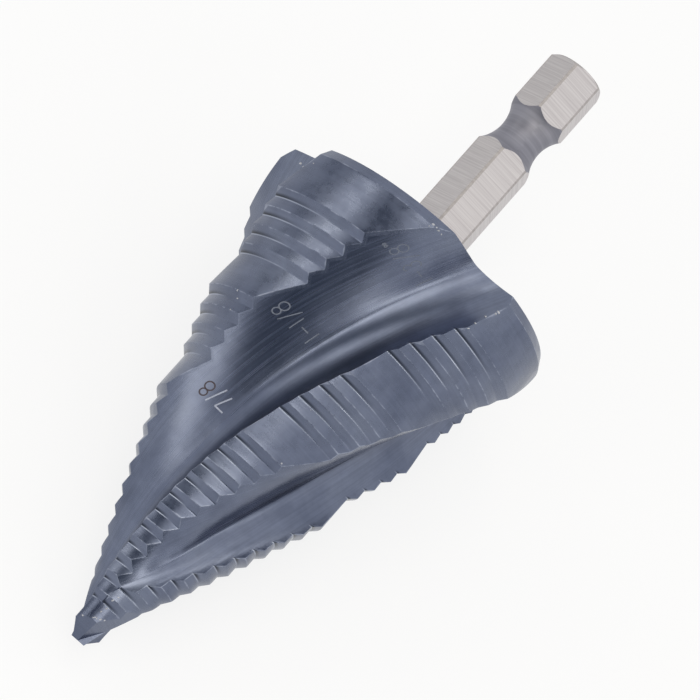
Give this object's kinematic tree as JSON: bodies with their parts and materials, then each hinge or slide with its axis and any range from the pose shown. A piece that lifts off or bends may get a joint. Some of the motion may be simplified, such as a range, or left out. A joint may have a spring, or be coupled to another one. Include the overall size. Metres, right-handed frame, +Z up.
{
  "type": "step drill",
  "caption": "Stepped cone drill in one piece, with spiral flutes, a split point and a hexagonal quick-change shank.",
  "frame": {"origin": "on the table, under the middle of the tool's bounding box as it lies at rest", "axes": "+X from the point towards the shank along the table, +Z up; the tool's own axis lies in the XZ plane and rises 14.5 degrees towards the shank"},
  "size_m": [0.0782, 0.035, 0.0344],
  "materials": {
    "coated_steel": "dark blue-grey coating, glossy",
    "ground_steel": "bright ground steel without coating, on the six flats of the shank"
  },
  "bodies": {
    "root": {"step_drill": "coated_steel"}
  },
  "joints": []
}
